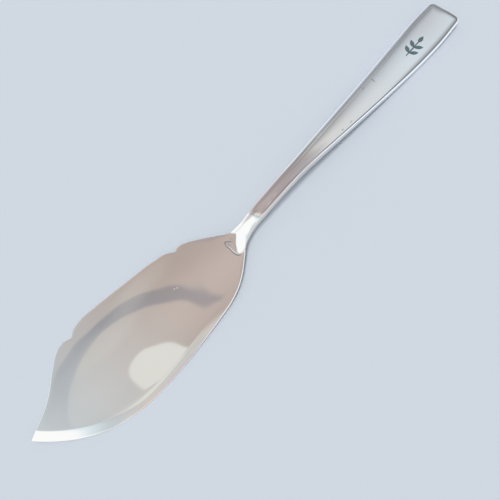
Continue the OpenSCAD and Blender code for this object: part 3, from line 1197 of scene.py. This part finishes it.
@dataclass(frozen=True)
class SilverPlate:
    """Silver plate on nickel silver, polished and then used for years.

    It mirrors the room, sharply on the blade and more softly on the handle, which hands and
    drawers have rubbed. It has fine wiping scratches, a faint warm bloom, and tarnish left in the
    grooves, where polishing doesn't reach. Painted shade darkens the grooves and a band beside the
    rim, and the rubbed rim is painted whiter as a highlight; some marks are painted highlights and
    painted shade. cool_from and rub are stretches along the frame's x in metres, and the marks are
    in the knife's millimetres.
    """

    silver: str = "#EFEDE8"
    bloom: str = "#EAE6E0"
    # darker colour where the tarnish and the painted shade lie
    tarnish_and_shade: str = "#706F6E"
    # painted highlight: the rubbed rim is coloured whiter than the plate
    rubbed_highlight: str = "#F1F4F8"
    cool: str = "#EAF2F5"
    cool_from: Pair = (0.022, 0.078)
    blade_rough: float = 0.02
    handle_rough: float = 0.17
    scratch_rough: float = 0.015
    tarnish_rough: float = 0.25
    rubbed_rough: float = -0.07
    rub: Pair = (-0.006, 0.045)
    bloom_scale: float = 50.0
    scratch_turn: float = 0.16
    scratch_scale: tuple[float, float, float] = (80.0, 2800.0, 2800.0)
    scratch_strength: float = 0.12
    scratch_deep: float = 0.000004
    marks: tuple[Spot, ...] = (
        # pits of wear, painted white and roughened as glints: painted highlights
        Spot((56.7, 4.45), (0.22, 0.2), "#FFFFFF", share=0.7, rough=0.5),
        Spot((57.5, 4.05), (0.22, 0.2), "#FFFFFF", share=0.7, rough=0.5),
        # painted shade: a dark line on the neck beside its bright strip
        Spot((88.3, 0.75), (2.3, 0.5), "#B4A9A8", turn=-12.0, soft=0.7, share=0.75),
        # painted shade: dims the panel's reflection next to the neck
        Spot((114.5, -1.5), (8.0, 1.15), "#CCC8C8", soft=0.7, share=0.9),
        # scratches and specks of wear
        Spot((158.2, 2.3), (0.16, 0.95), "#8C8F92", turn=-14.0),
        Spot((152.6, 2.9), (0.8, 0.3), "#B4B7B9", turn=6.0, soft=0.6),
        Spot((132.6, -2.4), (0.4, 0.12), "#7C7F82", turn=4.0, soft=0.5),
        Spot((137.4, -2.5), (0.7, 0.1), "#A09F9F", turn=3.0, soft=0.5),
        # painted highlights: two white sparks on the neck
        Spot((95.0, -1.2), (1.2, 0.22), "#FFFFFF", turn=4.0, soft=0.7, share=0.8, rough=0.12),
        Spot((98.4, -0.8), (0.9, 0.2), "#FFFFFF", turn=4.0, soft=0.7, share=0.8, rough=0.12),
    )

    def add_marks(self, tree: Tree, place: Socket, colour: Socket, rough: Socket,
                  knife: "Knife") -> tuple[Socket, Socket]:
        """Lays the small marks over the plate: scratches and specks of wear, painted glints and
        painted shade.

        Args:
            tree: Node tree of the material.
            place: Object coordinates.
            colour: The plate's colour so far.
            rough: Its roughness so far.
            knife: The knife, for the place of its frame.

        Returns:
            The colour and the roughness with the marks.
        """
        for mark in self.marks:
            x, y, _ = knife.to_frame(np.array([*mark.centre, 0.0]))
            wide, high = mark.size
            spot = replace(mark, centre=(float(x), float(y)), size=(MM * wide, MM * high))
            colour, share = spot.lay(tree, place, colour)
            rough = add_node(tree, "Math", {0: share, 1: mark.rough, 2: rough},
                             operation="MULTIPLY_ADD").outputs[0]
        return colour, rough

    def material(self, knife: "Knife") -> bpy.types.Material:
        """Builds the node material.

        Args:
            knife: The knife that is plated.

        Returns:
            The material, reading Object coordinates and the attributes of tarnish and painted
            shade, and of polish and painted highlight.
        """
        material = bpy.data.materials.new("silver_plate_used")
        material.use_nodes = True
        tree = material.node_tree
        shader = tree.nodes["Principled BSDF"]
        shader.inputs["Metallic"].default_value = 1.0
        place = add_node(tree, "TexCoord").outputs["Object"]
        tarnish_and_shade_share, polish_and_highlight = (add_node(tree, "Attribute", attribute_name=name).outputs["Fac"]
                          for name in ("tarnish_and_shade_share", "polish_and_highlight"))
        x = add_node(tree, "SeparateXYZ", {0: place}).outputs["X"]
        # bloom: barely warmer patches of about 20 mm
        cloud = add_node(tree, "TexNoise", {
            "Vector": place, "Scale": self.bloom_scale, "Detail": 2.0}).outputs["Fac"]
        # the plate is cooler towards the handle's end; the rim is polished and painted whiter as a
        # highlight; the grooves and the band beside them are darker, with tarnish and painted shade
        start, full = self.cool_from
        far = add_node(tree, "MapRange", {
            "Value": x, "From Min": start, "From Max": full}).outputs[0]
        colour = linear(self.silver)
        for share, tone in ((cloud, self.bloom), (far, self.cool), (polish_and_highlight, self.rubbed_highlight),
                            (tarnish_and_shade_share, self.tarnish_and_shade)):
            colour = add_node(tree, "Mix", {0: share, 6: colour, 7: linear(tone)},
                              data_type="RGBA").outputs[2]
        # wiping scratches: 12 mm long and 0.35 mm apart, coarser than real ones so that they show
        along = add_node(tree, "Mapping", {
            "Vector": place, "Rotation": (0.0, 0.0, self.scratch_turn),
            "Scale": self.scratch_scale}).outputs[0]
        wiped = add_node(tree, "TexNoise", {
            "Vector": along, "Scale": 1.0, "Detail": 3.0}).outputs["Fac"]
        bump = add_node(tree, "Bump", {
            "Strength": self.scratch_strength, "Distance": self.scratch_deep, "Height": wiped})
        tree.links.new(bump.outputs[0], shader.inputs["Normal"])
        # roughness: rises from the blade to the handle, and where the tarnish and painted shade lie
        start, full = self.rub
        rough = add_node(tree, "MapRange", {
            "Value": x, "From Min": start, "From Max": full, "To Min": self.blade_rough,
            "To Max": self.handle_rough}, interpolation_type="SMOOTHSTEP").outputs[0]
        for share, change in ((wiped, self.scratch_rough), (tarnish_and_shade_share, self.tarnish_rough),
                              (polish_and_highlight, self.rubbed_rough)):
            rough = add_node(tree, "Math", {0: share, 1: change, 2: rough},
                             operation="MULTIPLY_ADD").outputs[0]
        colour, rough = self.add_marks(tree, place, colour, rough, knife)
        tree.links.new(colour, shader.inputs["Base Color"])
        tree.links.new(rough, shader.inputs["Roughness"])
        return material


# Studio


@dataclass(frozen=True)
class Sky:
    """What the polished metal mirrors: a soft room of pale walls.

    A broad white window lies beyond the blade's point, and overhead are a grey arch and a pale
    round lampshade. A place in the room is the spot (x / z, y / z) that a direction meets on a
    ceiling one unit up. Only the low wall goes by the direction's z as it is. room is the
    walls' colour along x, and across is their strength along y. arch_out and arch_in are the
    arch's two rims, as distances from its centre at each turn in degrees.
    """

    room: tuple[tuple[float, str], ...] = (
        (-0.43, "#F6FAFF"), (-0.4, "#F3F9FF"), (-0.347, "#E9F5FE"), (-0.27, "#D2E1EA"),
        (-0.206, "#C3CED7"), (-0.137, "#C2C9D0"), (-0.09, "#C4C7CB"), (-0.04, "#C1BEBF"),
        (0.0, "#BEB7B6"), (0.063, "#C1B5B1"), (0.105, "#BFB3B0"), (0.16, "#B9AFB1"),
        (0.215, "#B5ACAF"), (0.27, "#ABA2A7"), (0.6, "#A9A0A6"), (0.73, "#AFAAAC"),
        (0.83, "#C6C3C5"), (0.92, "#CFCFD2"), (1.09, "#D2D5D9"), (1.5, "#D2D5DC"),
    )
    room_span: Pair = (-1.5, 1.5)
    slant: Pair = (0.1, 0.4)
    across: Knots = (
        (-2.0, 1.9), (-0.9, 1.75), (-0.5, 1.35), (-0.3, 1.09), (-0.2, 1.03), (-0.05, 0.95),
        (0.1, 0.92), (0.16, 0.95), (0.2, 1.01), (0.26, 1.05), (0.34, 1.0), (0.4, 0.94),
        (0.46, 0.92), (0.55, 0.95), (0.75, 1.2), (0.9, 1.4), (1.1, 1.6), (1.4, 1.8), (2.0, 1.95),
    )
    across_span: Pair = (-2.0, 2.0)
    across_top: float = 2.0
    strength: float = 1.15
    lamp_strength: float = 1.22
    window_edge: Pair = (-0.15, -0.25)
    low_wall: Pair = (0.05, 0.42)
    lowest: float = 0.05
    arch_centre: Pair = (-0.035, 0.235)
    arch_reach: float = 0.25
    arch_turn: Pair = (-180.0, 180.0)
    arch_soft: float = 0.014
    arch_out: Knots = (
        (-180, 0.15), (-40, 0.135), (-26, 0.121), (-17, 0.1104), (-6, 0.1051), (11, 0.1081),
        (38, 0.1235), (64, 0.152), (83, 0.173), (101, 0.1835), (120, 0.1665), (135, 0.155),
        (180, 0.15),
    )
    arch_in: Knots = (
        (-180, 0.11), (-40, 0.135), (-26, 0.1158), (-17, 0.1015), (-8, 0.0955), (5, 0.0921),
        (28, 0.0955), (44, 0.104), (53, 0.109), (65, 0.119), (80, 0.1365), (96, 0.147),
        (108, 0.141), (125, 0.1237), (140, 0.113), (180, 0.11),
    )
    arch_ends: Pair = (-29.0, -23.0)
    arch_tint: str = "#D5DCE8"
    arch_fade: Pair = (-0.18, -0.03)
    spots: tuple[Spot, ...] = (
        Spot((-0.05, -0.27), (0.17, 0.13), "#C3C9CA", soft=0.5, share=0.8),
        Spot((-0.083, -0.04), (0.118, 0.185), "#E2E4E4", soft=0.4, share=0.92),
        Spot((-0.74, 0.1), (0.335, 0.9), "#F8FBFF", soft=0.15),
        Spot((-0.5, 0.4), (0.26, 0.28), "#F8FBFF", soft=0.2),
        Spot((-0.04, 0.355), (0.05, 0.035), "#E2E3DF", soft=0.5, share=0.18),
        Spot((0.125, 0.36), (0.08, 0.08), "#7C7370", soft=0.7, share=0.2),
        Spot((0.03, 0.395), (0.042, 0.03), "#E6E8E6", soft=0.6, share=0.17),
        Spot((0.95, 0.04), (0.5, 0.17), "#E4E9ED", soft=0.7, share=0.8),
        Spot((1.1, 0.78), (0.55, 0.3), "#9FA3A8", soft=0.6, share=0.9),
    )
    lampshade: Spot = Spot((-0.0226, 0.1715), (0.0324, 0.0867), "#D9DBDA", turn=11.0, soft=0.05)

    def arch(self, tree: Tree, ceiling: Socket) -> Socket:
        """Masks the grey arch on the ceiling.

        Args:
            tree: Node tree of the world.
            ceiling: The spot that a direction meets.

        Returns:
            1 on the arch and 0 beside it.
        """
        away = add_node(tree, "VectorMath", {0: ceiling, 1: (*self.arch_centre, 0.0)},
                        operation="SUBTRACT").outputs[0]
        scale = 1.0 / self.arch_reach
        flat = add_node(tree, "VectorMath", {0: away, 1: (scale, scale, 0.0)},
                        operation="MULTIPLY").outputs[0]
        far = add_node(tree, "VectorMath", {0: flat}, operation="LENGTH").outputs["Value"]
        x, y, _ = add_node(tree, "SeparateXYZ", {0: flat}).outputs
        angle = add_node(tree, "Math", {0: y, 1: x}, operation="ARCTAN2").outputs[0]
        degrees = add_node(tree, "Math", {0: angle}, operation="DEGREES").outputs[0]
        low, high = self.arch_turn
        turn = add_node(tree, "MapRange", {
            "Value": degrees, "From Min": low, "From Max": high}).outputs[0]
        start, full = self.arch_ends
        mask = add_node(tree, "MapRange", {"Value": degrees, "From Min": start, "From Max": full},
                        interpolation_type="SMOOTHSTEP").outputs[0]
        for points, soft in ((self.arch_out, self.arch_soft), (self.arch_in, -self.arch_soft)):
            line = add_node(tree, "FloatCurve", {"Value": turn})
            rim = set_curve(line, points, self.arch_turn, self.arch_reach)
            gap = add_node(tree, "Math", {0: rim, 1: far}, operation="SUBTRACT").outputs[0]
            side = add_node(tree, "MapRange", {"Value": gap, "From Min": -soft, "From Max": soft},
                            interpolation_type="SMOOTHSTEP").outputs[0]
            mask = add_node(tree, "Math", {0: mask, 1: side}, operation="MULTIPLY").outputs[0]
        return mask

    def build(self, tree: Tree) -> Socket:
        """Builds the room that the metal mirrors.

        Args:
            tree: Node tree of the world.

        Returns:
            The background shader.
        """
        direction = add_node(tree, "TexCoord").outputs["Generated"]
        z = add_node(tree, "SeparateXYZ", {0: direction}).outputs["Z"]
        up = add_node(tree, "Math", {0: z, 1: self.lowest}, operation="MAXIMUM").outputs[0]
        height = add_node(tree, "CombineXYZ", {0: up, 1: up, 2: up}).outputs[0]
        ceiling = add_node(tree, "VectorMath", {0: direction, 1: height},
                           operation="DIVIDE").outputs[0]
        ceiling = add_node(tree, "VectorMath", {0: ceiling, 1: FLAT},
                           operation="MULTIPLY").outputs[0]
        # walls: the window's edge slants away below
        ahead, sideways, _ = add_node(tree, "SeparateXYZ", {0: ceiling}).outputs
        start, steep = self.slant
        below = add_node(tree, "Math", {0: start, 1: sideways}, operation="SUBTRACT").outputs[0]
        below = add_node(tree, "Math", {0: below, 1: 0.0}, operation="MAXIMUM").outputs[0]
        across = add_node(tree, "Math", {0: below, 1: steep, 2: ahead},
                          operation="MULTIPLY_ADD").outputs[0]
        low, high = self.room_span
        share = add_node(tree, "MapRange", {"Value": across, "From Min": low, "From Max": high})
        lit = set_ramp(add_node(tree, "ValToRGB", {"Fac": share.outputs[0]}),
                       tuple(((place - low) / (high - low), tone) for place, tone in self.room))
        # the arch, the spots of light and shade and the lampshade lie over them
        start, full = self.arch_fade
        reach = add_node(tree, "MapRange", {"Value": ahead, "From Min": start, "From Max": full})
        mask = add_node(tree, "Math", {0: self.arch(tree, ceiling), 1: reach.outputs[0]},
                        operation="MULTIPLY").outputs[0]
        lit = add_node(tree, "Mix", {0: mask, 6: lit, 7: linear(self.arch_tint)},
                       data_type="RGBA", blend_type="MULTIPLY").outputs[2]
        for spot in self.spots:
            lit, _ = spot.lay(tree, ceiling, lit)
        lit, shade = self.lampshade.lay(tree, ceiling, lit)
        # strength: the low walls have half of it
        low, high = self.across_span
        share = add_node(tree, "MapRange", {"Value": sideways, "From Min": low, "From Max": high})
        level = set_curve(add_node(tree, "FloatCurve", {"Value": share.outputs[0]}),
                          self.across, self.across_span, self.across_top)
        low, high = self.low_wall
        wall = add_node(tree, "MapRange", {
            "Value": z, "From Min": low, "From Max": high, "To Min": self.strength,
            "To Max": self.across_top * self.strength}, interpolation_type="SMOOTHSTEP").outputs[0]
        level = add_node(tree, "Math", {0: level, 1: wall}, operation="MULTIPLY").outputs[0]
        # the window and the lampshade keep their own brightness
        start, full = self.window_edge
        window = add_node(tree, "MapRange", {"Value": across, "From Min": start, "From Max": full},
                          interpolation_type="SMOOTHSTEP").outputs[0]
        own = add_node(tree, "Math", {0: window, 1: shade}, operation="MAXIMUM").outputs[0]
        level = add_node(tree, "Mix", {0: own, 2: level, 3: self.lamp_strength},
                         data_type="FLOAT").outputs[0]
        return add_node(tree, "Background", {"Color": lit, "Strength": level}).outputs[0]


@dataclass
class Studio:
    """The pale table, the soft light and the camera.

    eye is the camera's place in millimetres, and right, up and back are its axes.
    """

    floor_colour: str = "#CFD7E1"
    floor_size: float = 8.0
    floor_rough: float = 0.75
    floor_gloss: float = 0.2
    backdrop: str = "#CFD7E1"
    fill_colour: str = "#FFFFFF"
    fill: float = 0.53
    sun: float = 1.6
    sun_wide: float = 14.0
    sun_from: tuple[float, float, float] = (-0.36, -0.03, 0.99)
    lens: float = 36.72
    sensor: float = 36.0
    near: float = 0.005
    eye: tuple[float, float, float] = (-64.93, -44.42, 150.74)
    right: tuple[float, float, float] = (0.63745, -0.77049, 0.0046)
    up: tuple[float, float, float] = (0.71823, 0.59636, 0.35848)
    back: tuple[float, float, float] = (-0.27895, -0.22520, 0.93353)

    def build_floor(self) -> bpy.types.Object:
        """Makes the table top, in matt paint: one soft colour with hardly any gloss.

        Returns:
            The floor, which isn't part of the object.
        """
        bpy.ops.object.select_all(action="DESELECT")
        bpy.ops.mesh.primitive_plane_add(size=self.floor_size)
        floor = bpy.context.object
        floor.name = "table_top"
        material = bpy.data.materials.new("table_matt_paint")
        material.use_nodes = True
        shader = material.node_tree.nodes["Principled BSDF"]
        shader.inputs["Base Color"].default_value = linear(self.floor_colour)
        shader.inputs["Roughness"].default_value = self.floor_rough
        shader.inputs["Specular IOR Level"].default_value = self.floor_gloss
        floor.data.materials.append(material)
        return floor

    def build_light(self) -> None:
        """Adds the soft lamp, which comes from the upper left of the picture."""
        lamp = bpy.data.lights.new("soft_lamp", "SUN")
        lamp.energy = self.sun
        lamp.angle = math.radians(self.sun_wide)
        holder = bpy.data.objects.new("soft_lamp", lamp)
        bpy.context.scene.collection.objects.link(holder)
        holder.rotation_mode = "QUATERNION"
        holder.rotation_quaternion = Vector(self.sun_from).to_track_quat("Z", "Y")
        holder.visible_glossy = False

    def build_world(self, sky: Sky) -> None:
        """Makes the surroundings: plain white light, a pale backdrop, and the room in the metal.

        Args:
            sky: The room that glossy surfaces mirror.
        """
        world = bpy.data.worlds.new("soft_room")
        bpy.context.scene.world = world
        world.use_nodes = True
        tree = world.node_tree
        tree.nodes.clear()
        mirrored = sky.build(tree)
        backdrop = add_node(tree, "Background", {"Color": linear(self.backdrop)})
        light = add_node(tree, "Background", {
            "Color": linear(self.fill_colour), "Strength": self.fill})
        path = add_node(tree, "LightPath").outputs
        glossy = add_node(tree, "MixShader", {
            0: path["Is Glossy Ray"], 1: light.outputs[0], 2: mirrored})
        shown = add_node(tree, "MixShader", {
            0: path["Is Camera Ray"], 1: glossy.outputs[0], 2: backdrop.outputs[0]})
        add_node(tree, "OutputWorld", {0: shown.outputs[0]})

    def build_camera(self) -> None:
        """Puts the camera where the photograph was taken, nearly overhead and close."""
        lens = bpy.data.cameras.new("view")
        lens.lens = self.lens
        lens.sensor_width = self.sensor
        lens.clip_start = self.near
        camera = bpy.data.objects.new("view", lens)
        bpy.context.scene.collection.objects.link(camera)
        turn = Matrix((self.right, self.up, self.back)).transposed().to_4x4()
        camera.matrix_world = Matrix.Translation(Vector(self.eye) * MM) @ turn
        bpy.context.scene.camera = camera


def main() -> None:
    """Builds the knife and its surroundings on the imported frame."""
    logging.basicConfig(level=logging.INFO, format="%(name)s: %(message)s")
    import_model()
    bpy.context.scene.view_settings.view_transform = "Standard"
    studio = Studio()
    studio.build_camera()
    studio.build_floor()
    studio.build_light()
    studio.build_world(Sky())
    knife, sprig = Knife(), Sprig()
    knife.dress(knife.build(), SilverPlate())
    sprig.dress(sprig.build(knife), DarkOxide())


if __name__ == "__main__":
    main()
